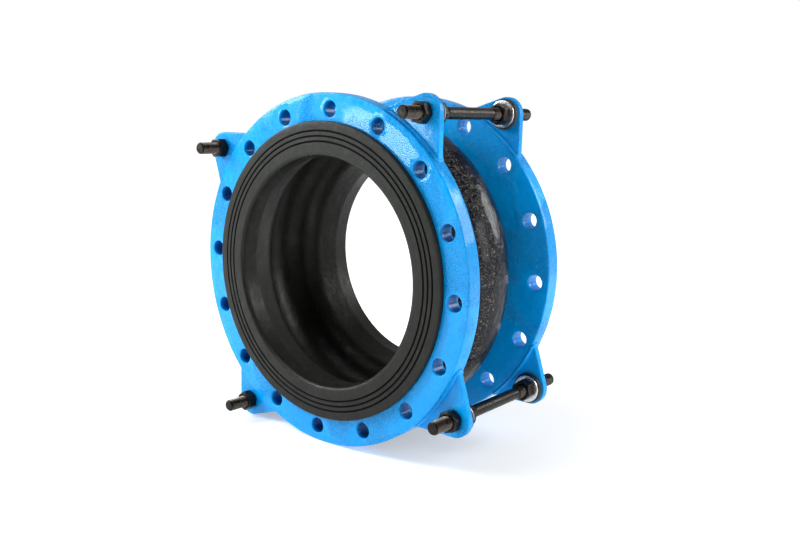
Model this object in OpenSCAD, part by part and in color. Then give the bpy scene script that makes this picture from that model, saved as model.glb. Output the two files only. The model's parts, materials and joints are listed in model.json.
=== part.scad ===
// Single-arch rubber expansion joint with two loose steel flanges and four tie rods.
// Millimetres. +Y runs along the pipe axis, +Z is up, the joint lies on the floor at Z = 0.

/* [Flanges] */
// outside diameter of each steel flange
flange_od = 565; // [520:1:600]
// thickness of each steel flange
flange_t = 28; // [24:1:34]
// bolt circle diameter
bolt_pcd = 515; // [500:1:530]
// bolt hole diameter
bolt_hole_d = 26; // [22:1:28]
// bore of the steel flange, around the rubber neck
flange_bore_d = 400; // [398:1:406]

/* [Rubber body] */
// length between the two rubber sealing faces
face_to_face = 265; // [255:1:275]
// how far each sealing face stands out of its flange
face_proud = 8; // [5:0.5:10]
// outside diameter of the sealing face
seal_od = 478; // [472:1:482]
// clear bore of the rubber body
bore_d = 369; // [360:1:375]
// inside diameter at the crown of the arch
crown_id = 490; // [480:1:496]
// radius of the arch in section, inside
arch_r = 44; // [40:1:46]
// angle at which the neck widens towards the arch
cone_deg = 15; // [12:1:18]
// radius of the rounded shoulder between neck and arch, inside
shoulder_r = 40; // [30:1:44]
// how far inside a flange's inner face the neck starts to widen
cone_start = 4; // [2:0.5:6]
// thickness of the inner rubber layer
liner_t = 5; // [4:0.5:6]
// thickness of the rubber wall with its cord plies
wall_t = 13; // [12:0.5:14]

/* [Lugs] */
// circle diameter of the four tie rods
rod_pcd = 632; // [620:1:640]
// radius of the rounded lug tip
lug_tip_r = 27.5; // [26:0.5:29]
// angle between a lug's flank and the radial line
lug_flank_deg = 36; // [30:1:42]
// plate thickness of a lug
lug_t = 11; // [10:0.5:14]
// distance from the front flange's inner face to its lugs
front_lug_inset = 6; // [2:0.5:8]
// distance from the rear flange's inner face to its lugs
rear_lug_inset = 3; // [2:0.5:8]
// tie rod hole in a lug
lug_hole_d = 26; // [24:0.5:28]
// angle of the first tie rod from the top, seen along the pipe
first_rod_deg = 36.66; // [36.66:0.1:40]

/* [Tie rods] */
// tie rod diameter
rod_d = 20; // [18:0.5:22]
// tie rod length
rod_len = 330; // [300:5:360]
// nut width across flats
nut_af = 30; // [27:0.5:32]
// nut height
nut_h = 16; // [14:0.5:18]
// free play between a front outer nut and its lug, so that the rod can lean
front_nut_play = 1.3; // [1.2:0.1:2]
// free play between a rear outer nut and its lug, where a leaning rod also draws back
rear_nut_play = 2.1; // [2:0.1:3]
// diameter of the plated steel washers
washer_d = 44; // [40:0.5:50]
// thickness of the plated steel washers
washer_t = 3; // [2:0.5:4]
// diameter of the rubber cushion washers inside the lugs
cushion_d = 48; // [44:0.5:50]
// thickness of the rubber cushion washers
cushion_t = 8; // [5:0.5:10]

/* [Hidden] */
$fn = 96;
hole_n = 16;
flange_r = flange_od / 2;
bore_r = bore_d / 2;
end_y = face_to_face / 2;          // sealing face
out_y = end_y - face_proud;        // outer face of a flange
in_y = out_y - flange_t;           // inner face of a flange
recess_r = 226;                    // bead recess in the flange
recess_t = 16;
// the joint lies on the rims of both flanges, just clear of its lower left lugs
stance = first_rod_deg;
hole_phase = stance - 1.5 * 360 / hole_n;
front_lug_y = in_y + front_lug_inset;   // inner faces of the lugs
rear_lug_y = in_y + rear_lug_inset;
crown_c = crown_id / 2 - arch_r;   // centre of the arch's section circle
cone_y = in_y + cone_start;        // where the neck starts to widen, inside
// centre of the shoulder's circle: it touches the widening neck and the arch's circle
neck_dir = [sin(cone_deg), -cos(cone_deg)];
neck_out = [cos(cone_deg), sin(cone_deg)];
neck_edge = [bore_r - crown_c, cone_y] + shoulder_r * neck_out;
neck_b = neck_edge * neck_dir;
neck_s = -neck_b - sqrt(neck_b * neck_b - neck_edge * neck_edge + pow(arch_r + shoulder_r, 2));
shoulder = [crown_c, 0] + neck_edge + neck_s * neck_dir;
ply_gap = 0.3;
ply_out = liner_t + 4;             // outer side of the cord plies
core_r = 4.5;
core_c = [213, end_y - 17.7];
thread_gap = 0.05;

PAINT = [0.10, 0.55, 0.92];
RUBBER = [0.10, 0.10, 0.10];
STEEL = [0.16, 0.13, 0.11];
ZINC = [0.80, 0.80, 0.78];
CORD = [0.72, 0.68, 0.55];

// turns a profile of (radius, distance along the pipe) about the pipe axis
module about_axis()
  translate([0, 0, flange_r]) rotate([-90, 0, 0]) rotate_extrude($fn = 180) children();
// places a piece drawn with the radial direction on X and the pipe axis on Z
module at(angle) translate([0, 0, flange_r]) rotate([-90, 0, 0]) rotate([0, 0, angle - 90]) children();
module mirrored(side) if (side > 0) children(); else mirror([0, 1, 0]) children();

// ring of the flange with its bead recess; side -1 is the front flange
module flange(side) color(PAINT) mirrored(side) difference() {
  about_axis() polygon([
    [flange_bore_d / 2 + 2, in_y], [flange_r - 2, in_y], [flange_r, in_y + 2],
    [flange_r, out_y - 2], [flange_r - 2, out_y], [recess_r, out_y],
    [recess_r, out_y - recess_t], [flange_bore_d / 2, out_y - recess_t],
    [flange_bore_d / 2, in_y + 2]]);
  for (k = [0:hole_n - 1]) at(hole_phase + k * 360 / hole_n)
    translate([bolt_pcd / 2, 0, in_y - 1]) cylinder(d = bolt_hole_d, h = flange_t + 2);
}

// triangular ear with a rounded tip, welded on the rim
module lug(side, k) color(PAINT) mirrored(side) at(stance + 90 * k) {
  tx = (lug_tip_r - 0.1) * sin(lug_flank_deg);
  ty = (lug_tip_r - 0.1) * cos(lug_flank_deg);
  foot = flange_r - 14;
  wide = ty + (rod_pcd / 2 + tx - foot) * tan(lug_flank_deg);
  translate([0, 0, side < 0 ? front_lug_y : rear_lug_y]) difference() {
    union() {
      translate([rod_pcd / 2, 0, 0]) cylinder(r = lug_tip_r, h = lug_t);
      linear_extrude(lug_t) polygon([[rod_pcd / 2 + tx, ty], [rod_pcd / 2 + tx, -ty],
        [foot, -wide], [foot, wide]]);
    }
    translate([0, 0, -1]) cylinder(r = flange_r, h = lug_t + 2, $fn = 180);
    translate([rod_pcd / 2, 0, -1]) cylinder(d = lug_hole_d, h = lug_t + 2);
  }
}

// cone of the neck on one side, its line moved off outward
module cone(off) {
  r0 = bore_r + off * cos(cone_deg);
  y0 = cone_y + off * sin(cone_deg);
  near = 74;
  polygon([[100, y0 + 10], [r0 - 10 * tan(cone_deg), y0 + 10],
    [r0 + near * sin(cone_deg), y0 - near * cos(cone_deg)], [100, y0 - near * cos(cone_deg)]]);
}
// rounds the corner between the cone and the arch's circle
module shoulder_gap(off) difference() {
  polygon([[crown_c, 0], shoulder, shoulder - (shoulder_r + 10) * neck_out]);
  translate(shoulder) circle(r = shoulder_r - off, $fn = 96);
}
// space inside the arch profile, grown outward by off, out to the length ly:
// a straight neck, a cone and a rounded shoulder on each side, and the arch's circle
module inside(off, ly) {
  about_axis() translate([100, -ly]) square([bore_r + off - 100, 2 * ly]);
  about_axis() translate([crown_c, 0]) circle(r = arch_r + off, $fn = 180);
  for (s = [0, 1]) about_axis() mirror([0, s]) cone(off);
  for (s = [0, 1]) about_axis() mirror([0, s]) shoulder_gap(off);
}
// rubber between two offsets of the arch profile
module layer(a, b, ly) difference() {
  union() inside(b, ly);
  union() inside(a, ly + 1);
}

// inner rubber tube with both sealing faces
module inner_liner() color(RUBBER) difference() {
  union() {
    layer(0, liner_t, out_y + 0.2);
    for (s = [0, 1]) about_axis() mirror([0, s]) sealing_face();
  }
  for (s = [0, 1]) about_axis() mirror([0, s]) difference() {
    translate([bore_r - 1, end_y - 7]) square([8, 8]);
    translate([bore_r + 7, end_y - 7]) circle(r = 7, $fn = 48);
  }
}
module sealing_face() difference() {
  translate([bore_r, out_y]) square([seal_od / 2 - bore_r, face_proud]);
  for (q = [0:2]) translate([207.4 + q * 8.3, end_y]) circle(r = 1.7, $fn = 24);
  difference() {
    translate([seal_od / 2 - 2, end_y - 2]) square([3, 3]);
    translate([seal_od / 2 - 2, end_y - 2]) circle(r = 2, $fn = 24);
  }
}

// cord plies over the liner, turned out behind the sealing faces
module cord_plies() color(CORD) {
  layer(liner_t + ply_gap, ply_out, out_y - ply_gap);
  for (s = [0, 1]) about_axis() mirror([0, s])
    translate([bore_r + ply_out - 1, out_y - 4]) square([recess_r - 1 - bore_r - ply_out, 4 - ply_gap]);
}

// outer rubber with the two beads that hold the wire cores
module outer_cover() color(RUBBER) difference() {
  union() {
    layer(ply_out, wall_t, out_y - 4);
    for (s = [0, 1]) about_axis() mirror([0, s])
      translate([bore_r + ply_out + 1, out_y - recess_t + 0.5])
        square([recess_r - 1.5 - bore_r - ply_out, recess_t - 4.5]);
  }
  for (s = [0, 1]) about_axis() mirror([0, s]) translate(core_c) circle(r = core_r + ply_gap, $fn = 48);
}

module bead_core(side) color(STEEL) mirrored(side) about_axis() translate(core_c) circle(r = core_r, $fn = 48);

// threaded tie rod, drawn as its outside cylinder with bevelled ends
module tie_rod(k) color(STEEL) at(stance + 90 * k) translate([rod_pcd / 2, 0, 0]) rotate_extrude()
  polygon([[0, -rod_len / 2], [rod_d / 2 - 1.8, -rod_len / 2], [rod_d / 2, -rod_len / 2 + 1.8],
    [rod_d / 2, rod_len / 2 - 1.8], [rod_d / 2 - 1.8, rod_len / 2], [0, rod_len / 2]]);

// hexagon nut with bevelled corners; y is its face nearer the front
module nut(y, k) at(stance + 90 * k) translate([rod_pcd / 2, 0, y]) difference() {
  intersection() {
    cylinder(d = nut_af / cos(30), h = nut_h, $fn = 6);
    rotate_extrude() polygon([[0, 0], [nut_af / 2 - 0.5, 0], [nut_af / 2 + 2.4, 1.7],
      [nut_af / 2 + 2.4, nut_h - 1.7], [nut_af / 2 - 0.5, nut_h], [0, nut_h]]);
  }
  translate([0, 0, -1]) cylinder(r = rod_d / 2 + thread_gap, h = nut_h + 2);
}
module disc(y, d, t, k) at(stance + 90 * k) translate([rod_pcd / 2, 0, y]) difference() {
  cylinder(d = d, h = t);
  translate([0, 0, -1]) cylinder(d = rod_d + 1, h = t + 2);
}

front_washer_y = front_lug_y - cushion_t - washer_t;   // nut side of a plated washer
rear_washer_y = rear_lug_y - cushion_t - washer_t;
module front_nuts(k) color(STEEL) {
  nut(-front_lug_y - lug_t - front_nut_play - nut_h, k);
  nut(-front_washer_y, k);
}
module front_washer(k) color(ZINC) disc(-front_washer_y - washer_t, washer_d, washer_t, k);
module front_cushion(k) color(RUBBER) disc(-front_lug_y, cushion_d, cushion_t, k);
module rear_inner_nut(k) color(STEEL) nut(rear_washer_y - nut_h, k);
module rear_outer_nut(k) color(STEEL) nut(rear_lug_y + lug_t + rear_nut_play, k);
module rear_washer(k) color(ZINC) disc(rear_washer_y, washer_d, washer_t, k);
module rear_cushion(k) color(RUBBER) disc(rear_lug_y - cushion_t, cushion_d, cushion_t, k);

flange(-1);  // front_flange
flange(1);  // rear_flange
lug(-1, 0);  // front_lug_1
lug(-1, 1);  // front_lug_2
lug(-1, 2);  // front_lug_3
lug(-1, 3);  // front_lug_4
lug(1, 0);  // rear_lug_1
lug(1, 1);  // rear_lug_2
lug(1, 2);  // rear_lug_3
lug(1, 3);  // rear_lug_4
inner_liner();
cord_plies();
outer_cover();
bead_core(-1);  // front_bead_core
bead_core(1);  // rear_bead_core
tie_rod(0);  // tie_rod_1
tie_rod(1);  // tie_rod_2
tie_rod(2);  // tie_rod_3
tie_rod(3);  // tie_rod_4
front_nuts(0);  // front_nuts_1
front_nuts(1);  // front_nuts_2
front_nuts(2);  // front_nuts_3
front_nuts(3);  // front_nuts_4
front_washer(0);  // front_washer_1
front_washer(1);  // front_washer_2
front_washer(2);  // front_washer_3
front_washer(3);  // front_washer_4
front_cushion(0);  // front_cushion_1
front_cushion(1);  // front_cushion_2
front_cushion(2);  // front_cushion_3
front_cushion(3);  // front_cushion_4
rear_washer(0);  // rear_washer_1
rear_washer(1);  // rear_washer_2
rear_washer(2);  // rear_washer_3
rear_washer(3);  // rear_washer_4
rear_cushion(0);  // rear_cushion_1
rear_cushion(1);  // rear_cushion_2
rear_cushion(2);  // rear_cushion_3
rear_cushion(3);  // rear_cushion_4
rear_inner_nut(0);  // rear_inner_nut_1
rear_inner_nut(1);  // rear_inner_nut_2
rear_inner_nut(2);  // rear_inner_nut_3
rear_inner_nut(3);  // rear_inner_nut_4
rear_outer_nut(0);  // rear_outer_nut_1
rear_outer_nut(1);  // rear_outer_nut_2
rear_outer_nut(2);  // rear_outer_nut_3
rear_outer_nut(3);  // rear_outer_nut_4
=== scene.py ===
import json
import math
import random

import bmesh
import bpy
from mathutils import Matrix, Vector, noise
from mathutils.geometry import delaunay_2d_cdt

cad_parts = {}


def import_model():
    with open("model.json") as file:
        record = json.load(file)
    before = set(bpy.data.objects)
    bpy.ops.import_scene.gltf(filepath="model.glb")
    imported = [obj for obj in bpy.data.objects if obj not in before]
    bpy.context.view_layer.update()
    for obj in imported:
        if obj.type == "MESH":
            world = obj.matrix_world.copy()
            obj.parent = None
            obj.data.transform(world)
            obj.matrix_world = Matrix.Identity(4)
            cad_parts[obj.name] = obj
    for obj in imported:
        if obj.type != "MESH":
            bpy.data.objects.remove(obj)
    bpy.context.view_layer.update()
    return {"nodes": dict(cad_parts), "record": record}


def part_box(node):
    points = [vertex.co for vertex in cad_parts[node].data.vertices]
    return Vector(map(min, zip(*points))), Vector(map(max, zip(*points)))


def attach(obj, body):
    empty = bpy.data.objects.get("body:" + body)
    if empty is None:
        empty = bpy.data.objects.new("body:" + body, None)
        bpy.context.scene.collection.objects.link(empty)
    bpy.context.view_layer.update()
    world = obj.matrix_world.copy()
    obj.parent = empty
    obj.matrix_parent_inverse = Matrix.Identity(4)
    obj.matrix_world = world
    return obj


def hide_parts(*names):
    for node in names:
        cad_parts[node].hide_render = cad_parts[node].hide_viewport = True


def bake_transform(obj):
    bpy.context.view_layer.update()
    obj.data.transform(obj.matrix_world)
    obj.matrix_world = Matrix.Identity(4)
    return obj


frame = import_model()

scene = bpy.context.scene
NODES = frame["nodes"]

# ---------------------------------------------------------------- sizes, mm
# Lengths in this script are millimetres until a mesh is made. The pipe axis lies along Y at the
# height AX. "Depth" is the distance from the middle of the joint towards either end.
MM = 0.001
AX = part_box("front_flange")[1].z / MM / 2
FACE_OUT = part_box("rear_flange")[1].y / MM      # outer face of a flange
FACE_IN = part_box("rear_flange")[0].y / MM       # its inner face
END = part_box("inner_liner")[1].y / MM           # sealing face
RIM = AX                                        # outer radius of a flange, which stands on the floor
PCD_R, HOLE_R, HOLES = 257.5, 13.0, 16          # bolt circle
SEAT_R, SEAT_T, BORE_R = 226.0, 16.0, 200.0     # bead recess and bore of a flange
NECK_R, LIP_R = 184.5, 239.0                    # bore and outer edge of the sealing face
GROOVE_R, GROOVE_STEP, GROOVES = 207.4, 8.3, 3  # grooves in the sealing face
ROD_PCD_R, TIP_R, FLANK = 316.0, 27.5, 36.0     # rod circle, lug tip radius, lug flank angle
LUG_HOLE_R = 13.0
STANCE = 36.66                                  # angle of the first tie rod from the top
PHASE = STANCE - 1.5 * 360 / HOLES
LUG_IN = {-1: 102.5, 1: 99.5}                   # depths of the lugs' inner and outer faces, by side
LUG_OUT = {-1: 113.5, 1: 110.5}
SIDES = (("front", -1), ("rear", 1))


def world(r, t, y, a):
    """A point at radius r and sideways offset t from the ray at angle a, clockwise from the top."""
    s, c = math.sin(a), math.cos(a)
    return (r * s + t * c, y, AX + r * c - t * s)


# ---------------------------------------------------------------- camera
CAM_AZ, CAM_EL, CAM_ROLL, CAM_DIST = 39.0617, 9.5701, 0.9178, 1.3003
CAM_TARGET = Vector((0.15738, -0.1245, 0.31116))
CAM_LENS, CAM_SENSOR = 39.6036, 36


def make_camera():
    az, el, roll = (math.radians(v) for v in (CAM_AZ, CAM_EL, CAM_ROLL))
    back = Vector((math.sin(az) * math.cos(el), -math.cos(az) * math.cos(el), math.sin(el)))
    right = (-back).cross(Vector((0, 0, 1))).normalized()
    up = right.cross(-back)
    x = math.cos(roll) * right + math.sin(roll) * up
    y = -math.sin(roll) * right + math.cos(roll) * up
    data = bpy.data.cameras.new("camera")
    data.lens = CAM_LENS
    data.sensor_width = CAM_SENSOR
    data.clip_start = 0.01
    cam = bpy.data.objects.new("camera", data)
    turn = Matrix((x, y, back)).transposed().to_4x4()
    cam.matrix_world = Matrix.Translation(CAM_TARGET + back * CAM_DIST) @ turn
    scene.collection.objects.link(cam)
    scene.camera = cam


make_camera()


# ---------------------------------------------------------------- materials
class Paint:
    """A node material. Textures use object coordinates, in metres, so every scale is per metre."""

    def __init__(self, name, metallic=0.0, coat=0.0, coat_rough=0.1, spec=0.5):
        self.m = bpy.data.materials.new(name)
        self.m.use_nodes = True
        self.nt = self.m.node_tree
        self.b = self.nt.nodes["Principled BSDF"]
        self.b.inputs["Metallic"].default_value = metallic
        self.b.inputs["Coat Weight"].default_value = coat
        self.b.inputs["Coat Roughness"].default_value = coat_rough
        self.b.inputs["Specular IOR Level"].default_value = spec
        self.co = self.nt.nodes.new("ShaderNodeTexCoord").outputs["Object"]

    def _in(self, node, key, value):
        if hasattr(value, "is_output"):
            self.nt.links.new(value, node.inputs[key])
        elif value is not None:
            node.inputs[key].default_value = value

    def noise(self, scale, detail=3, rough=0.5, twist=0.0):
        n = self.nt.nodes.new("ShaderNodeTexNoise")
        self._in(n, "Vector", self.co)
        for key, value in (("Scale", scale), ("Detail", detail), ("Roughness", rough),
                           ("Distortion", twist)):
            n.inputs[key].default_value = value
        return n.outputs["Fac"]

    def cells(self, scale):
        n = self.nt.nodes.new("ShaderNodeTexVoronoi")
        self._in(n, "Vector", self.co)
        n.inputs["Scale"].default_value = scale
        return n.outputs["Distance"]

    def math(self, op, a, b=None):
        n = self.nt.nodes.new("ShaderNodeMath")
        n.operation = op
        self._in(n, 0, a)
        self._in(n, 1, b)
        return n.outputs[0]

    def span(self, value, a, b, lo=0.0, hi=1.0, smooth=True):
        """Takes value from the range a to b over to the range lo to hi."""
        n = self.nt.nodes.new("ShaderNodeMapRange")
        n.interpolation_type = "SMOOTHSTEP" if smooth else "LINEAR"
        for key, v in enumerate((value, a, b, lo, hi)):
            self._in(n, key, v)
        return n.outputs[0]

    def mix(self, fac, a, b):
        n = self.nt.nodes.new("ShaderNodeMix")
        n.data_type = "RGBA"
        self._in(n, 0, fac)
        self._in(n, 6, a if hasattr(a, "is_output") else (*a, 1))
        self._in(n, 7, b if hasattr(b, "is_output") else (*b, 1))
        return n.outputs[2]

    def split(self):
        n = self.nt.nodes.new("ShaderNodeSeparateXYZ")
        self._in(n, 0, self.co)
        return n.outputs

    def radius(self):
        """Distance from the pipe axis."""
        x, _, z = self.split()
        up = self.math("SUBTRACT", z, AX * MM)
        return self.math("SQRT", self.math("ADD", self.math("MULTIPLY", x, x), self.math("MULTIPLY", up, up)))

    def bump(self, height, distance, under=None):
        """distance is the height, in metres, of a rise from 0 to 1; under is a coarser bump below it."""
        n = self.nt.nodes.new("ShaderNodeBump")
        n.inputs["Strength"].default_value = 1.0
        n.inputs["Distance"].default_value = distance
        self._in(n, "Height", height)
        self._in(n, "Normal", under)
        return n.outputs[0]

    def attribute(self, name):
        n = self.nt.nodes.new("ShaderNodeAttribute")
        n.attribute_name = name
        return n.outputs["Fac"]

    def out(self, colour=None, rough=None, normal=None):
        self._in(self.b, "Base Color", (*colour, 1) if isinstance(colour, tuple) else colour)
        self._in(self.b, "Roughness", rough)
        self._in(self.b, "Normal", normal)
        return self.m


def blue_paint():
    """Gloss azure enamel, brushed on thickly: slow waves, orange peel, and gritty stretches that glint."""
    p = Paint("blue_paint", coat=0.24, coat_rough=0.07, spec=0.13)
    cloud = p.noise(9, 3)
    base = p.mix(cloud, (0.0, 0.285, 0.75), (0.0005, 0.355, 0.87))
    base = p.mix(p.span(p.noise(28, 4, 0.6), 0.56, 0.78, 0, 0.5), base, (0.002, 0.42, 0.90))
    dirt = p.span(p.noise(700, 3, 0.6), 0.64, 0.76, 0, 0.5)
    base = p.mix(dirt, base, (0.0005, 0.085, 0.30))
    # Painted shade: the front flange's hole walls are darker towards their middle.
    base = p.mix(p.math("MULTIPLY", p.attribute("recess"), 0.8), base, (0.0, 0.060, 0.24))
    rough = p.span(p.noise(140, 3, 0.55), 0.3, 0.7, 0.18, 0.36)
    wave = p.bump(p.noise(42, 2), 0.0016)
    peel = p.bump(p.noise(300, 2, 0.5), 0.00034, wave)
    x, _, z = p.split()
    corner = p.span(p.math("ADD", x, p.math("MULTIPLY", z, 0.7)), 0.43, 0.51, 0, 0.17)
    where = p.span(p.math("ADD", p.noise(11, 2), corner), 0.50, 0.60)
    gritty = p.math("MULTIPLY", p.noise(620, 3), where)
    return p.out(base, rough, p.bump(gritty, 0.0030, peel))


def face_rubber():
    """Sealing faces and the inside of the tube."""
    p = Paint("black_rubber", spec=0.2)
    cloud = p.noise(16, 4, 0.6)
    base = p.mix(cloud, (0.0055, 0.0056, 0.0044), (0.0130, 0.0133, 0.0105))
    dust = p.span(p.noise(60, 6, 0.7), 0.50, 0.8, 0, 0.3)
    base = p.mix(dust, base, (0.045, 0.044, 0.037))
    specks = p.span(p.noise(1500, 1), 0.70, 0.78, 0, 0.6)
    base = p.mix(specks, base, (0.12, 0.115, 0.10))
    rough = p.span(p.noise(35, 4, 0.6), 0.3, 0.7, 0.30, 0.48)
    # Painted shade: the three grooves of the sealing face turn near black and rough.
    half_step = GROOVE_STEP / 2 * MM
    past = p.math("SUBTRACT", p.radius(), GROOVE_R * MM - half_step)
    off = p.math("ABSOLUTE", p.math("SUBTRACT", p.math("MODULO", past, GROOVE_STEP * MM), half_step))
    painted_groove_shade = p.math("MULTIPLY", p.span(off, 2.0 * MM, 1.2 * MM), p.math("GREATER_THAN", past, 0.0))
    painted_groove_shade = p.math("MULTIPLY", painted_groove_shade, p.math("LESS_THAN", past, GROOVES * GROOVE_STEP * MM))
    near_face = p.math("GREATER_THAN", p.math("ABSOLUTE", p.split()[1]), (END - 2.5) * MM)
    painted_groove_shade = p.math("MULTIPLY", painted_groove_shade, near_face)
    base = p.mix(painted_groove_shade, base, (0.001, 0.001, 0.001))
    rough = p.mix(painted_groove_shade, rough, (0.95, 0.95, 0.95))
    fine = p.bump(p.noise(1300, 3, 0.6), 0.00018)
    return p.out(base, rough, p.bump(p.noise(90, 4, 0.55), 0.0008, fine))


def cover_rubber():
    """Outside of the tube: a scuffed, peeling skin towards the front and a glossy band at the crown; the
    cover's navy tint is a painted reflection of the blue flanges.
    """
    p = Paint("cover_rubber", spec=0.22, coat=0.12, coat_rough=0.08)
    y = p.split()[1]
    off = p.math("ADD", y, p.span(p.noise(50, 3), 0, 1, -0.003, 0.003, False))
    scuffed = p.math("MAXIMUM", p.span(off, -0.017, -0.0135, 1, 0), p.span(off, 0.028, 0.040, 0, 0.35))
    flake = p.span(p.noise(190, 5, 0.7, twist=1.4), 0.50, 0.56)
    flake = p.math("MULTIPLY", flake, scuffed)
    # Painted reflection: the navy tint stands for the blue flanges mirrored in the black rubber.
    base = p.mix(p.noise(30, 3), (0.0010, 0.0016, 0.0042), (0.0034, 0.0052, 0.0115))
    pale = p.span(p.noise(420, 4, 0.7), 0.44, 0.66)
    brown = p.mix(pale, (0.010, 0.009, 0.008), (0.270, 0.245, 0.205))
    base = p.mix(flake, base, brown)
    rough = p.mix(flake, (0.22, 0.22, 0.22), (0.60, 0.60, 0.60))
    ridges = p.bump(p.noise(60, 3), 0.0034)
    return p.out(base, rough, p.bump(flake, 0.0010, p.bump(p.noise(700, 3), 0.00025, ridges)))


def cushion_rubber():
    p = Paint("cushion_rubber", spec=0.4)
    base = p.mix(p.noise(150, 4, 0.6), (0.010, 0.010, 0.010), (0.028, 0.027, 0.025))
    base = p.mix(p.span(p.noise(600, 3), 0.6, 0.75, 0, 0.4), base, (0.08, 0.075, 0.065))
    rough = p.span(p.noise(200, 3), 0.3, 0.7, 0.45, 0.7)
    return p.out(base, rough, p.bump(p.noise(1200, 3), 0.00015))


def oxide(name, dark, light, rust, wear, thread=False):
    """Oiled black oxide on steel, thin and brown where it is rubbed; a thread's roots carry painted shade and
    its crests a painted highlight.
    """
    p = Paint(name, metallic=0.9, spec=0.5)
    base = p.mix(p.noise(90, 4, 0.6), dark, light)
    base = p.mix(p.span(p.noise(240, 5, 0.7), 0.54, 0.74, 0, wear), base, rust)
    rough = p.span(p.noise(160, 4, 0.6), 0.3, 0.7, 0.22, 0.46)
    if thread:
        crest = p.attribute("crest")
        # Painted shade: near black in the thread's roots.
        painted_root_shade = p.span(crest, 0.44, 0.20, 0, 0.95)
        base = p.mix(painted_root_shade, base, (0.002, 0.002, 0.002))
        # Painted highlight: lighter brown on the thread's crests.
        base = p.mix(p.span(crest, 0.75, 1.0, 0, 0.75), base, (0.42, 0.37, 0.33))
        rough = p.math("MAXIMUM", rough, painted_root_shade)
    fine = p.bump(p.noise(1800, 2), 0.00007)
    return p.out(base, rough, p.bump(p.noise(260, 3), 0.00026, fine))


def zinc_plate():
    p = Paint("zinc_plate", metallic=1.0)
    base = p.mix(p.noise(120, 4, 0.6), (0.62, 0.62, 0.60), (0.86, 0.86, 0.83))
    base = p.mix(p.span(p.noise(300, 5, 0.7), 0.55, 0.75, 0, 0.7), base, (0.34, 0.30, 0.24))
    rough = p.span(p.noise(500, 3), 0.3, 0.7, 0.22, 0.45)
    return p.out(base, rough, p.bump(p.noise(1500, 3), 0.00006))


def bead_wire():
    p = Paint("bead_wire", metallic=1.0)
    base = p.mix(p.noise(400, 3), (0.30, 0.27, 0.22), (0.52, 0.49, 0.44))
    return p.out(base, p.span(p.noise(800, 2), 0.3, 0.7, 0.3, 0.5), p.bump(p.noise(1500, 2), 0.0002))


def cord_fabric():
    p = Paint("cord_fabric")
    base = p.mix(p.noise(500, 3), (0.42, 0.37, 0.25), (0.60, 0.55, 0.42))
    return p.out(base, p.span(p.noise(900, 2), 0.3, 0.7, 0.75, 0.95), p.bump(p.cells(700), 0.0004))


M = {"blue_paint": blue_paint(), "black_rubber": face_rubber(), "cover_rubber": cover_rubber(),
     "cushion_rubber": cushion_rubber(), "zinc_plate": zinc_plate(), "bead_wire": bead_wire(),
     "cord_fabric": cord_fabric(),
     "nut_black_oxide": oxide("nut_black_oxide", (0.012, 0.010, 0.009), (0.034, 0.028, 0.024),
                              (0.10, 0.066, 0.045), 0.6),
     "rod_black_oxide": oxide("rod_black_oxide", (0.010, 0.009, 0.008), (0.028, 0.025, 0.022),
                              (0.09, 0.062, 0.044), 0.5, True)}
for row in frame["record"]["subparts"]:
    NODES[row["node"]].data.materials.clear()
    NODES[row["node"]].data.materials.append(M[row["material_slot"]])


# ---------------------------------------------------------------- mesh building
class Shell:
    """Collects the points and faces of one mesh, in millimetres."""

    def __init__(self):
        self.v, self.f = [], []

    def ring(self, points):
        """Adds points and returns their numbers."""
        start = len(self.v)
        self.v += [tuple(p) for p in points]
        return list(range(start, len(self.v)))

    def strip(self, a, b, wrap=True):
        """Joins two rings of as many points by a band of faces."""
        n = len(a)
        for i in range(n if wrap else n - 1):
            j = (i + 1) % n
            self.f.append((a[i], a[j], b[j], b[i]))

    def rings(self, rows):
        for a, b in zip(rows, rows[1:]):
            self.strip(a, b)

    def sheet(self, outer, holes, extra, y):
        """Fills a flat face at depth y between ring outer and the rings in holes, through extra (x, z)."""
        loops, flat, index = [], [], []
        for loop in [outer] + holes:
            ids = list(range(len(flat), len(flat) + len(loop)))
            pts = [Vector((self.v[i][0], self.v[i][2])) for i in loop]
            turn = sum(p.x * q.y - q.x * p.y for p, q in zip(pts, pts[1:] + pts[:1]))
            loops.append(ids if turn > 0 else ids[::-1])
            flat += pts
            index += loop
        flat += [Vector(p) for p in extra]
        out, _, tris, source, _, inside = delaunay_2d_cdt(flat, [], loops, 0, 1e-6)
        place = []
        for p, where in zip(out, source):
            known = [w for w in where if w < len(index)]
            place.append(index[known[0]] if known else self.ring([(p.x, y, p.y)])[0])
        for t, who in zip(tris, inside):
            if list(who) == [0]:
                self.f.append(tuple(place[i] for i in t))

    def mesh(self, name, smooth, wobble=0.0, grain=30.0, merge=0.0, seed=0.0):
        """The finished mesh, in metres. wobble is the height of its unevenness and grain the width; edges
        sharper than smooth degrees stay sharp."""
        me = bpy.data.meshes.new(name)
        me.from_pydata(self.v, [], self.f)
        bm = bmesh.new()
        bm.from_mesh(me)
        if merge:
            bmesh.ops.remove_doubles(bm, verts=bm.verts, dist=merge)
            bmesh.ops.dissolve_degenerate(bm, edges=bm.edges, dist=merge / 2)
        bmesh.ops.recalc_face_normals(bm, faces=bm.faces)
        bm.normal_update()
        if wobble:
            moves = []
            for v in bm.verts:
                k = noise.noise(v.co / grain + Vector((seed, seed, seed)))
                moves.append(v.normal * k * wobble)
            for v, d in zip(bm.verts, moves):
                v.co += d
        for v in bm.verts:
            v.co *= MM
        bm.to_mesh(me)
        bm.free()
        me.shade_smooth()
        me.set_sharp_from_angle(angle=math.radians(smooth))
        return me


def piece(name, me, material, body=None, stands_for=()):
    o = bpy.data.objects.new(name, me)
    scene.collection.objects.link(o)
    me.materials.append(M[material])
    if body:
        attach(o, body)
    if stands_for:
        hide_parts(*stands_for)
    return o


def circle(r, n, start=0.0):
    turns = [start + math.tau * i / n for i in range(n)]
    return [(r * math.sin(q), r * math.cos(q)) for q in turns]


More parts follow.
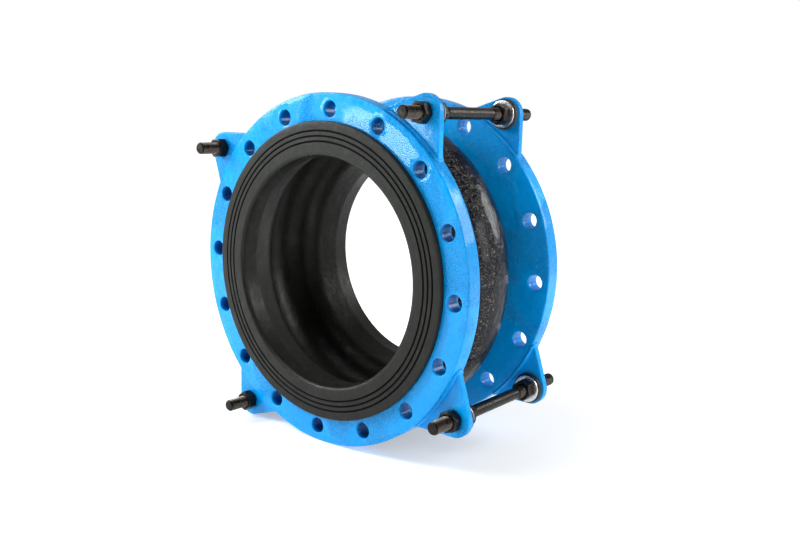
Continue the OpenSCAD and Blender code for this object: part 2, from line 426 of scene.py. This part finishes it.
def rounded(depth_a, depth_b, r, steps=4, middle=3):
    """(inset, depth) pairs down a plate's edge, with both corners rounded to r."""
    s = 1 if depth_b > depth_a else -1
    rows = [(r * (1 - math.sin(q)), depth_a + s * r * (1 - math.cos(q)))
            for q in (math.pi / 2 * i / steps for i in range(steps + 1))]
    a, b = depth_a + s * r, depth_b - s * r
    rows += [(0.0, a + (b - a) * i / (middle + 1)) for i in range(1, middle + 1)]
    rows += [(r * (1 - math.cos(q)), b + s * r * math.sin(q))
             for q in (math.pi / 2 * i / steps for i in range(steps + 1))]
    return rows


# ---------------------------------------------------------------- flanges
def flange(side):
    """The ring with its rounded rim, sixteen holes and the seat of the rubber bead."""
    s = Shell()
    rows = []
    for inset, depth in rounded(FACE_OUT, FACE_IN, 1.8, 4, 4):
        rows.append(s.ring([(x, side * depth, AX + z) for x, z in circle(RIM - inset, 320)]))
    s.rings(rows)
    holes_out, holes_in = [], []
    n = 44              # points round a hole
    rnd = random.Random(7 + side)
    for k in range(HOLES):
        a = math.radians(PHASE + k * 360 / HOLES)
        cx, cz = PCD_R * math.sin(a), PCD_R * math.cos(a)
        lumps = [rnd.uniform(-0.22, 0.22) for _ in range(8)]
        wall = []
        for inset, depth in rounded(FACE_OUT, FACE_IN, 1.5, 4, 3):
            pts = []
            for i in range(n):
                q = math.tau * i / n
                lump = sum(m * math.sin((j + 2) * q + 3 * m * j) for j, m in enumerate(lumps)) * 0.35
                r = HOLE_R + inset - 0.15 - abs(lump) * (0.3 + inset / 1.5)
                pts.append((cx + r * math.sin(q), side * depth, AX + cz + r * math.cos(q)))
            wall.append(s.ring(pts))
        s.rings(wall)
        holes_out.append(wall[0])
        holes_in.append(wall[-1])
    seat = [s.ring([(x, side * d, AX + z) for x, z in circle(r, 240)]) for r, d in
            ((SEAT_R, FACE_OUT), (SEAT_R, FACE_OUT - SEAT_T), (BORE_R, FACE_OUT - SEAT_T),
             (BORE_R, FACE_IN + 1.6), (BORE_R + 0.5, FACE_IN + 0.5), (BORE_R + 1.6, FACE_IN))]
    s.rings(seat)
    step = math.radians(360 / HOLES)

    def from_hole(x, z):
        """Distance from the axis of the nearest bolt hole."""
        r = math.hypot(x, z)
        a = (math.atan2(x, z) - math.radians(PHASE) + step / 2) % step - step / 2
        return math.hypot(r * math.sin(a), r * math.cos(a) - PCD_R)

    def grid(low, high):
        """Points that spread the flat face's triangles evenly between radii low and high."""
        out = []
        gap = 7.5
        r = low + 6
        while r < high - 4:
            out += [(x, AX + z) for x, z in circle(r, int(math.tau * r / gap), start=0.37 * r)
                    if from_hole(x, z) > HOLE_R + 4]
            r += gap
        return out

    s.sheet(rows[0], holes_out + [seat[0]], grid(SEAT_R, RIM - 2), side * FACE_OUT)
    s.sheet(rows[-1], holes_in + [seat[-1]], grid(BORE_R + 2, RIM - 2), side * FACE_IN)
    me = s.mesh("flange", 40, wobble=0.16, grain=26, seed=side * 3.1)
    recess = me.attributes.new("recess", "FLOAT", "POINT")      # painted shade on the hole walls, 1 deep inside the front flange's holes
    values = []
    for v in me.vertices:
        x, y, z = v.co.x / MM, abs(v.co.y) / MM, v.co.z / MM - AX
        # Painted shade only on the front flange's hole walls; the rear flange's holes are lit from behind.
        wall = side < 0 and from_hole(x, z) < HOLE_R + 0.3
        values.append(min(1.0, max(0.0, (min(FACE_OUT - y, y - FACE_IN) - 1) / 3)) if wall else 0.0)
    recess.data.foreach_set("value", values)
    return me


# ---------------------------------------------------------------- lugs and weld beads
def lug(side, k):
    """Triangular ear cut from plate, its tip rounded, its foot inside the rim."""
    a = math.radians(STANCE + 90 * k)
    fl = math.radians(FLANK)
    foot = RIM - 3.5
    wide = TIP_R * math.cos(fl) + (ROD_PCD_R + TIP_R * math.sin(fl) - foot) * math.tan(fl)

    def outline(inset):
        r = TIP_R - inset
        pts = []
        for i in range(-14, 15):
            q = (math.pi / 2 - fl) * i / 14
            pts.append((ROD_PCD_R + r * math.cos(q), r * math.sin(q)))
        low = wide - inset / math.cos(fl)
        tip = pts[-1]
        side_pts = [(tip[0] + (foot - tip[0]) * i / 8, tip[1] + (low - tip[1]) * i / 8)
                    for i in range(1, 9)]
        base = [(foot, low - 2 * low * i / 16) for i in range(1, 16)]
        return pts + side_pts + base + [(x, -y) for x, y in side_pts[::-1]]

    s = Shell()
    rows = [s.ring([world(r, t, side * d, a) for r, t in outline(i)])
            for i, d in rounded(LUG_OUT[side], LUG_IN[side], 1.5)]
    s.rings(rows)
    wall = []
    for inset, d in rounded(LUG_OUT[side], LUG_IN[side], 0.8, 3):
        hole = LUG_HOLE_R + inset
        wall.append(s.ring([world(ROD_PCD_R + hole * math.cos(q), hole * math.sin(q), side * d, a)
                            for q in (math.tau * i / 40 for i in range(40))]))
    s.rings(wall)

    def in_plate(r, t):
        if math.hypot(r - ROD_PCD_R, t) < LUG_HOLE_R + 4:
            return False
        if r > ROD_PCD_R + TIP_R * math.sin(fl):
            return math.hypot(r - ROD_PCD_R, t) < TIP_R - 4
        return abs(t) < (ROD_PCD_R + TIP_R / math.sin(fl) - r) * math.tan(fl) - 4 / math.cos(fl)

    fill = []
    for i in range(-12, 13):
        for j in range(1, 14):
            r, t = foot + 3 + j * 5, i * 5
            if in_plate(r, t):
                x, _, z = world(r, t, 0, a)
                fill.append((x, z))
    for row, hole, d in ((rows[0], wall[0], LUG_OUT[side]), (rows[-1], wall[-1], LUG_IN[side])):
        s.sheet(row, [hole], fill, side * d)
    return s.mesh("lug", 40, wobble=0.14, grain=16, seed=k * 2.3 + side)


def weld(side, k):
    """Painted fillet weld round the foot of a lug."""
    rnd = random.Random(31 + 5 * k + side)
    a0 = math.radians(STANCE + 90 * k)
    mid, dy = (LUG_IN[side] + LUG_OUT[side]) / 2, 6.6       # the bead's middle and half width along the pipe
    path = []
    half = math.radians(12.25) * RIM                        # half its length along the rim
    turn, step = 4.0, 0.9                                   # radius of its corners, and a ring every step
    for corner, (su, sv) in enumerate(((1, 1), (1, -1), (-1, -1), (-1, 1))):
        start = corner * math.pi / 2
        for i in range(7):
            q = start + math.pi / 2 * i / 6
            u, v = math.sin(q), math.cos(q)
            path.append((su * (half - turn) + turn * u, sv * (dy - turn) + turn * v))
    loop, total = [], 0.0
    for (u0, v0), (u1, v1) in zip(path, path[1:] + path[:1]):
        d = math.hypot(u1 - u0, v1 - v0)
        n = max(1, round(d / step))
        loop += [(u0 + (u1 - u0) * i / n, v0 + (v1 - v0) * i / n) for i in range(n)]
    s = Shell()
    rows = []
    n = len(loop)
    phase = rnd.uniform(0, 6)
    for i, (u, v) in enumerate(loop):
        u0, v0 = loop[i - 1]
        u1, v1 = loop[(i + 1) % n]
        du, dv = u1 - u0, v1 - v0
        size = math.hypot(du, dv) or 1
        du, dv = du / size, dv / size
        total += step
        ripple = 0.28 * abs(math.sin(total * math.pi / 3.6 + phase)) - 0.14
        slow = 0.7 * noise.noise(Vector((total / 14, k * 3.0, side * 2.0)))
        r = 3.9 + ripple + slow
        pts = []
        for j in range(14):
            q = math.tau * j / 14
            w = r * math.cos(q)
            h = RIM + 0.5 + r * math.sin(q) * 0.85
            uu, vv = u + dv * w, v - du * w
            ang = a0 + uu / RIM
            pts.append((h * math.sin(ang), side * (mid + vv), AX + h * math.cos(ang)))
        rows.append(s.ring(pts))
    for i in range(n):
        s.strip(rows[i], rows[(i + 1) % n])
    return s.mesh("weld", 60, wobble=0.25, grain=5, seed=k)


for end, side in SIDES:
    body = end + "_flange"
    piece(body + "_ring", flange(side), "blue_paint", body, [body])
    for k in range(4):
        node = "%s_lug_%d" % (end, k + 1)
        piece(node + "_plate", lug(side, k), "blue_paint", body, [node])
        piece(node + "_weld", weld(side, k), "blue_paint", body)


# ---------------------------------------------------------------- rubber tube
ARCH_R, ARCH_C = 44.0, 201.0    # the arch's inner radius, and its centre's distance from the pipe axis
CONE, CONE_Y, WALL = math.radians(15), 100.5, 13.0      # slope of the neck from depth CONE_Y on; the wall
SHOULDER_R = 40.0       # rounding between neck and arch, inside
SPLIT = 36.0            # depth at which the tube is divided into its middle and its two ends


def arc(cr, cy, r, a, b, n):
    turns = [a + (b - a) * i / n for i in range(n + 1)]
    return [(cr + r * math.cos(q), cy + r * math.sin(q)) for q in turns]


def arch_line(off):
    """Half a wall line, from the crown over the rounded shoulder to the straight neck: (radius, depth)."""
    out_r, out_y = math.cos(CONE), math.sin(CONE)       # away from the bore, square to the cone
    in_r, in_y = math.sin(CONE), -math.cos(CONE)        # along the cone towards the arch
    er, ey = NECK_R - ARCH_C + SHOULDER_R * out_r, CONE_Y + SHOULDER_R * out_y
    b = er * in_r + ey * in_y
    t = -b - math.sqrt(b * b - er * er - ey * ey + (ARCH_R + SHOULDER_R) ** 2)
    cr, cy = ARCH_C + er + t * in_r, ey + t * in_y       # centre of the shoulder's circle
    touch = math.atan2(cy, cr - ARCH_C)
    pts = arc(ARCH_C, 0, ARCH_R + off, 0, touch, 90)
    pts += arc(cr, cy, SHOULDER_R - off, touch - math.pi, CONE - math.pi, 50)[1:]
    r1, y1 = pts[-1]
    r0, y0 = NECK_R + off * out_r, CONE_Y + off * out_y
    return pts + [(r1 + (r0 - r1) * i / 40, y1 + (y0 - y1) * i / 40) for i in range(1, 41)]


def soften(line, sigma, step=0.8):
    """Resamples a line evenly and rounds its corners; its ends stay."""
    out, carry = [line[0]], 0.0
    for (r0, y0), (r1, y1) in zip(line, line[1:]):
        d = math.hypot(r1 - r0, y1 - y0)
        t = step - carry
        while t <= d:
            out.append((r0 + (r1 - r0) * t / d, y0 + (y1 - y0) * t / d))
            t += step
        carry = d - (t - step)
    out.append(line[-1])
    reach = int(3 * sigma / step)
    kern = [math.exp(-0.5 * (i * step / sigma) ** 2) for i in range(-reach, reach + 1)]
    res = []
    n = len(out)
    for i in range(n):
        m = min(i, n - 1 - i, reach)
        w = kern[reach - m:reach + m + 1]
        tot = sum(w)
        res.append((sum(out[i + j - m][0] * w[j] for j in range(2 * m + 1)) / tot,
                    sum(out[i + j - m][1] * w[j] for j in range(2 * m + 1)) / tot))
    return res


def tube_profile():
    """The whole wall's section as one closed line of (radius, y), from the crown inside round both ends."""
    inner = arch_line(0.0) + [(NECK_R, CONE_Y + 6), (NECK_R, END - 7)]
    inner = soften(inner, 1.7)
    face = arc(NECK_R + 7, END - 7, 7, math.pi, math.pi / 2, 10)[1:]
    for q in range(GROOVES):
        g = GROOVE_R + GROOVE_STEP * q
        face += [(g - 1.9, END)] + arc(g, END, 1.7, math.pi, math.tau, 8) + [(g + 1.9, END)]
    face += [(230, END), (LIP_R - 2, END)] + arc(LIP_R - 2, END - 2, 2, math.pi / 2, 0, 5)[1:]
    face += [(LIP_R, END - 5), (LIP_R, FACE_OUT + 0.4)]
    face += [(LIP_R - 1, FACE_OUT + 0.02), (SEAT_R - 1, FACE_OUT + 0.02)]
    back = [(SEAT_R - 1, FACE_OUT - SEAT_T + 1), (SEAT_R - 2, FACE_OUT - SEAT_T + 0.3)]
    outer = arch_line(WALL) + [(NECK_R + WALL, CONE_Y + 6), (NECK_R + WALL, FACE_OUT - SEAT_T + 0.3)]
    outer = soften(outer, 3.2)
    return inner + face + back + outer[::-1]


def cut_line(half, split):
    """Divides the closed half section at the depth split: the middle's two runs and the end's one."""
    first = next(i for i, p in enumerate(half) if p[1] > split)
    last = max(i for i, p in enumerate(half) if p[1] > split)

    def meet(p, q):
        t = (split - p[1]) / (q[1] - p[1])
        return (p[0] + (q[0] - p[0]) * t, split)

    a, b = meet(half[first - 1], half[first]), meet(half[last], half[last + 1])
    return half[:first] + [a], [a] + half[first:last + 1] + [b], [b] + half[last + 1:]


def point_normals(line):
    """The direction square to a line at each of its points, to the side of the wall's surface."""
    out = []
    for i in range(len(line)):
        r0, y0 = line[max(i - 1, 0)]
        r1, y1 = line[min(i + 1, len(line) - 1)]
        dr, dy = r1 - r0, y1 - y0
        d = math.hypot(dr, dy) or 1
        out.append((dy / d, -dr / d))
    return out


SPIN = 256              # steps round the tube


def tube_mesh(name, lines):
    """One stretch of the tube. lines are (line, kinds) pairs; each line runs along the wall, and its kinds
    say which material follows each of its points."""
    me = bpy.data.meshes.new(name)
    verts, faces, mats = [], [], []
    for line, kinds in lines:
        base = len(verts)
        for (r, y), (nr, ny) in zip(line, point_normals(line)):
            for j in range(SPIN):
                q = math.tau * j / SPIN
                sq, cq = math.sin(q), math.cos(q)
                lump = noise.noise(Vector((r * sq / 45, y / 30, r * cq / 45))) * 0.35
                fade = edge_fade(y)
                rr = r + nr * (lump + flash_height(r, y, q)) * fade
                yy = y + ny * lump * fade
                verts.append((rr * sq * MM, yy * MM, (AX + rr * cq) * MM))
        for i in range(len(line) - 1):
            for j in range(SPIN):
                j2 = (j + 1) % SPIN
                faces.append((base + i * SPIN + j, base + (i + 1) * SPIN + j,
                              base + (i + 1) * SPIN + j2, base + i * SPIN + j2))
                mats.append(kinds[i])
    me.from_pydata(verts, [], faces)
    me.polygons.foreach_set("material_index", mats)
    me.shade_smooth()
    return me


def edge_fade(y):
    """No lumps where the rubber lies against a flange."""
    return max(0.0, min(1.0, (FACE_IN + 2 - abs(y)) / 8))


def flash_height(r, y, q):
    """The mould's parting line: a thin broken ridge round the crown."""
    if r < ARCH_C + ARCH_R + 6 or abs(y) > 2.2:
        return 0.0
    broken = 0.55 + 0.45 * noise.noise(Vector((math.sin(q) * 40, 0, math.cos(q) * 40)))
    return 0.9 * math.exp(-(y / 0.8) ** 2) * broken


mid_in, end_run, mid_out = cut_line(tube_profile(), SPLIT)


def kinds_of(line):
    """0 inside and on the sealing face, 1 on the outside of the wall."""
    out, past_face = [], False
    for _, depth in line:
        out.append(1 if past_face and depth <= FACE_OUT - SEAT_T + 0.35 else 0)
        past_face = past_face or depth > END - 1
    return out


def flip(line):
    return [(r, -y) for r, y in line]


inner_mid = flip(mid_in)[::-1] + mid_in[1:]
outer_mid = mid_out[:-1] + flip(mid_out)[::-1]
end_kinds = kinds_of(end_run)
for name, pair, start, end, run, kinds, nodes in (
        ("front", ("front_flange", "rubber_liner"), -FACE_IN, -SPLIT, flip(end_run)[::-1], end_kinds[::-1],
         ("inner_liner",)),
        ("rear", ("rubber_cover", "rear_flange"), SPLIT, FACE_IN, end_run, end_kinds, ("outer_cover",)),
        ("arch", ("rubber_liner", "rubber_cover"), -SPLIT, SPLIT, None, None, ("cord_plies", "outer_cover"))):
    lines = [(run, kinds)] if run else [(inner_mid, [0] * len(inner_mid)), (outer_mid, [1] * len(outer_mid))]
    me = tube_mesh("tube_" + name, lines)
    o = piece("tube_" + name, me, "black_rubber", None, nodes)
    me.materials.append(M["cover_rubber"])
    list(pair)
    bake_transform(o)


# ---------------------------------------------------------------- tie rods
PITCH, ROD_R, CORE_R, SHANK_R, BEVEL_R, ROD_END = 2.5, 10.0, 8.55, 9.25, 8.2, 165.0
SHANK = (-62.0, 54.0)   # where the plain shank starts and ends


def rod_mesh(k):
    """Rod with a rolled, helical thread on both ends and a plain shank between them."""
    a = math.radians(STANCE + 90 * k)
    n, per = 30, 6      # points round the rod, and rows to a turn of the thread
    s = Shell()

    def thread(y0, y1, end_at):
        """Rows follow the helix. Radii fall to the bevel at the free end and to the shank at the other."""
        rows = []
        turns = int((y1 - y0) / PITCH * per) + per
        for j in range(-per, turns):
            row = []
            for i in range(n):
                q = math.tau * i / n
                y = y0 + PITCH * (j / per + i / n)
                flank = abs(((j / per) % 1.0) * 2 - 1)
                r = CORE_R + (ROD_R - CORE_R) * min(1.0, max(0.0, flank * 1.5 - 0.25))
                y = min(max(y, y0), y1)
                free = abs(y - (y0 if end_at < 0 else y1))
                near = abs(y - (y1 if end_at < 0 else y0))
                r = min(r, BEVEL_R + free)
                r = SHANK_R + (r - SHANK_R) * min(1.0, near / 4.0)
                row.append(world(ROD_PCD_R + r * math.cos(q), r * math.sin(q), y, a))
            rows.append(s.ring(row))
        for r0, r1 in zip(rows, rows[1:]):
            s.strip(r0, r1, wrap=False)
        for j in range(len(rows) - per - 1):
            s.f.append((rows[j][n - 1], rows[j + per][0], rows[j + per + 1][0], rows[j + 1][n - 1]))

    def ring(r, y):
        return s.ring([world(ROD_PCD_R + r * math.cos(q), r * math.sin(q), y, a)
                       for q in (math.tau * j / n for j in range(n))])

    thread(-ROD_END, SHANK[0], -1)
    thread(SHANK[1], ROD_END, 1)
    s.rings([ring(SHANK_R, SHANK[0] + (SHANK[1] - SHANK[0]) * i / 29) for i in range(30)])
    for d in (-1, 1):
        rows = [ring(r, (ROD_END + z) * d) for r, z in ((BEVEL_R, 0.0), (5.0, 0.12), (1.5, 0.2))]
        s.rings(rows)
        s.f.append(tuple(rows[-1]))
    me = s.mesh("rod", 38, merge=0.02)
    cx, _, cz = world(ROD_PCD_R, 0, 0, a)
    crest = me.attributes.new("crest", "FLOAT", "POINT")        # 0 in the thread's roots, 1 on its crests
    values = []
    for v in me.vertices:
        height = (math.hypot(v.co.x / MM - cx, v.co.z / MM - cz) - CORE_R) / (ROD_R - CORE_R)
        on_end = abs(v.co.y) / MM > ROD_END - 0.6
        values.append(0.5 if on_end else min(1.0, max(0.0, height)))
    crest.data.foreach_set("value", values)
    return me


def hex_radius(q, half_flat, sharp=70.0):
    """Radius at angle q of a hexagon with softened corners, half_flat from its middle to its flats."""
    total = 0.0
    for j in range(6):
        c = math.cos(q - math.pi / 3 * j)
        if c > 0:
            total += c ** sharp
    return half_flat / total ** (1 / sharp)


def nut_mesh(k, lo, hi, turn):
    """Hexagon nut: bevelled faces, softened corners and a countersunk hole."""
    a = math.radians(STANCE + 90 * k)
    shares = (0.0, 0.16, 0.3, 0.4, 0.45, 0.48, 0.5, 0.52, 0.55, 0.6, 0.7, 0.84)     # closest at the corners
    steps = [math.pi / 3 * (j + t) for j in range(6) for t in shares]
    s = Shell()
    flat, face_r = 15.0, 14.2       # half the width across flats, and the flat face's radius
    slope = math.tan(math.radians(27))
    rows = []
    bore = ((10.35, 2.2), (10.9, 0.9), (11.6, 0.15), (12.0, 0.0), (face_r - 0.25, 0.0), (face_r, 0.06))

    def ring(radius, depth):
        return s.ring([world(ROD_PCD_R + radius(q) * math.cos(q + turn),
                             radius(q) * math.sin(q + turn), depth(q), a) for q in steps])

    def outer(q):
        return hex_radius(q, flat)

    def fall(q):
        return 0.06 + (outer(q) - face_r) * slope

    for r, d in bore:
        rows.append(ring(lambda q, r=r: r, lambda q, d=d: lo + d))
    rows.append(ring(lambda q: (outer(q) + face_r) / 2, lambda q: lo + (0.06 + fall(q)) / 2))
    rows.append(ring(outer, lambda q: lo + fall(q)))
    for t in (0.25, 0.5, 0.75):
        rows.append(ring(outer, lambda q, t=t: lo + fall(q) + (hi - lo - 2 * fall(q)) * t))
    rows.append(ring(outer, lambda q: hi - fall(q)))
    rows.append(ring(lambda q: (outer(q) + face_r) / 2, lambda q: hi - (0.06 + fall(q)) / 2))
    for r, d in bore[::-1]:
        rows.append(ring(lambda q, r=r: r, lambda q, d=d: hi - d))
    s.rings(rows)
    s.strip(rows[-1], rows[0])
    return s.mesh("nut", 28, wobble=0.07, grain=4, seed=k + lo)


def disc_mesh(k, lo, hi, r_out, r_in, edge, bulge=0.0, wobble=0.0):
    """Washer with rounded or bulging edges."""
    a = math.radians(STANCE + 90 * k)
    s = Shell()
    line = [(r_in, lo + edge), (r_in + edge, lo)] + [(r_in + (r_out - r_in) * t, lo) for t in (0.35, 0.7)]
    mid, halfh = (lo + hi) / 2, (hi - lo) / 2
    if bulge:
        line += [(r_out - edge + (edge + bulge) * math.cos(q), mid + halfh * math.sin(q))
                 for q in (math.pi * (i / 10 - 0.5) for i in range(11))]
    else:
        quarter = [math.pi / 2 * i / 3 for i in range(4)]
        line += [(r_out - edge + edge * math.sin(q), lo + edge - edge * math.cos(q)) for q in quarter]
        line += [(r_out - edge + edge * math.cos(q), hi - edge + edge * math.sin(q)) for q in quarter]
    line += [(r_in + (r_out - r_in) * t, hi) for t in (0.7, 0.35)] + [(r_in + edge, hi), (r_in, hi - edge)]
    rows = [s.ring([world(ROD_PCD_R + r * math.cos(q), r * math.sin(q), y, a)
                    for q in (math.tau * i / 56 for i in range(56))]) for r, y in line]
    s.rings(rows)
    s.strip(rows[-1], rows[0])
    return s.mesh("disc", 40, wobble=wobble, grain=9, seed=k + lo)


CUSHION_T, WASHER_T, NUT_H = 8.0, 3.0, 16.0
CUSHION_R, WASHER_R = 24.0, 22.0
CUSHION_BORE, WASHER_BORE = 11.6, 10.5      # the cushion's is wide enough for the rod to lean in
NUT_PLAY = {-1: 1.3, 1: 2.1}    # outer nuts stand clear of the lugs, so that rods can lean
turner = random.Random(11)
for k in range(4):
    n = k + 1
    tie = "tie_rod_%d" % n
    piece(tie + "_rod", rod_mesh(k), "rod_black_oxide", tie, [tie])
    spin = [turner.uniform(0, math.pi / 3) for _ in range(4)]
    for end, side in SIDES:
        d_out = LUG_OUT[side] + NUT_PLAY[side]
        d_in = LUG_IN[side] - CUSHION_T - WASHER_T
        inner = sorted((side * d_in, side * (d_in - NUT_H)))
        outer = sorted((side * d_out, side * (d_out + NUT_H)))
        wash = sorted((side * d_in, side * (d_in + WASHER_T)))
        soft = sorted((side * LUG_IN[side], side * (LUG_IN[side] - CUSHION_T)))
        if side < 0:
            bodies = (tie, tie, tie, "front_cushion_%d" % n)
            nuts = (["front_nuts_%d" % n], [])
        else:
            bodies = ["rear_%s_%d" % (what, n) for what in ("inner_nut", "outer_nut", "washers", "washers")]
            nuts = (["rear_inner_nut_%d" % n], ["rear_outer_nut_%d" % n])
        piece("%s_inner_nut_%d_hex" % (end, n), nut_mesh(k, *inner, spin[side + 1]),
              "nut_black_oxide", bodies[0], nuts[0])
        piece("%s_outer_nut_%d_hex" % (end, n), nut_mesh(k, *outer, spin[side + 2]),
              "nut_black_oxide", bodies[1], nuts[1])
        piece("%s_washer_%d_disc" % (end, n), disc_mesh(k, *wash, WASHER_R, WASHER_BORE, 0.5),
              "zinc_plate", bodies[2], ["%s_washer_%d" % (end, n)])
        piece("%s_cushion_%d_disc" % (end, n),
              disc_mesh(k, *soft, CUSHION_R, CUSHION_BORE, 1.2, bulge=0.9, wobble=0.12),
              "cushion_rubber", bodies[3], ["%s_cushion_%d" % (end, n)])


# ---------------------------------------------------------------- studio
def area(name, loc, target, size, size_y, power, colour=(1, 1, 1)):
    data = bpy.data.lights.new(name, "AREA")
    data.shape = "RECTANGLE"
    data.size, data.size_y = size, size_y
    data.energy = power
    data.color = colour
    o = bpy.data.objects.new(name, data)
    o.location = loc
    o.rotation_euler = (Vector(target) - Vector(loc)).to_track_quat("-Z", "Y").to_euler()
    scene.collection.objects.link(o)


scene.view_settings.view_transform = "Standard"
studio = bpy.data.worlds.new("studio")
scene.world = studio
studio.use_nodes = True
tree = studio.node_tree
back = tree.nodes["Background"]
back.inputs[0].default_value = (1, 1, 1, 1)


def ramp(value, a, b, lo, hi):
    n = tree.nodes.new("ShaderNodeMapRange")
    tree.links.new(value, n.inputs[0])
    for key, v in ((1, a), (2, b), (3, lo), (4, hi)):
        if hasattr(v, "is_output"):
            tree.links.new(v, n.inputs[key])
        else:
            n.inputs[key].default_value = v
    return n.outputs[0]


# A white backdrop stands behind the joint, so reflected light comes mostly from there and from above.
way = tree.nodes.new("ShaderNodeSeparateXYZ")
tree.links.new(tree.nodes.new("ShaderNodeTexCoord").outputs["Generated"], way.inputs[0])
glow = ramp(way.outputs[1], -0.5, 0.7, 0.05, 0.42)
seen = tree.nodes.new("ShaderNodeLightPath").outputs["Is Camera Ray"]
tree.links.new(ramp(seen, 0.0, 1.0, glow, 1.0), back.inputs[1])
area("top_soft", (-0.5, -0.9, 1.9), (0, 0, 0.25), 1.2, 1.0, 15)
area("left_soft", (-1.7, -1.1, 1.2), (0, 0, 0.3), 0.9, 1.0, 49)
area("right_soft", (2.2, -0.3, 0.9), (0, 0, 0.3), 1.0, 1.0, 18)
area("back_soft", (1.5, 1.5, 1.2), (0, 0, 0.3), 1.0, 1.0, 28)
area("glare", (-1.57, -2.12, 0.45), (0.12, -0.12, 0.5), 0.34, 0.24, 7, (0.8, 1.0, 0.96))

floor_me = bpy.data.meshes.new("floor")
floor_me.from_pydata([(-9, -9, 0), (9, -9, 0), (9, 9, 0), (-9, 9, 0)], [], [(0, 1, 2, 3)])
floor = bpy.data.objects.new("floor", floor_me)
scene.collection.objects.link(floor)
fl = Paint("floor", spec=0.2)
fx, fy, _ = fl.split()
far = fl.math("SQRT", fl.math("ADD", fl.math("MULTIPLY", fx, fx), fl.math("MULTIPLY", fy, fy)))
fl.b.inputs["Emission Color"].default_value = (1, 1, 1, 1)
# Painted light: the floor glows, dimmer near the joint so its shadow shows and brighter far off so it turns
# white.
painted_floor_glow = fl.math("ADD", fl.span(far, 0.30, 0.75, 0.37, 0.62), fl.span(far, 0.75, 2.5, 0, 0.38))
fl.nt.links.new(painted_floor_glow, fl.b.inputs["Emission Strength"])
floor_me.materials.append(fl.out(fl.mix(fl.noise(3), (0.87, 0.88, 0.88), (0.90, 0.90, 0.90)), 0.7))
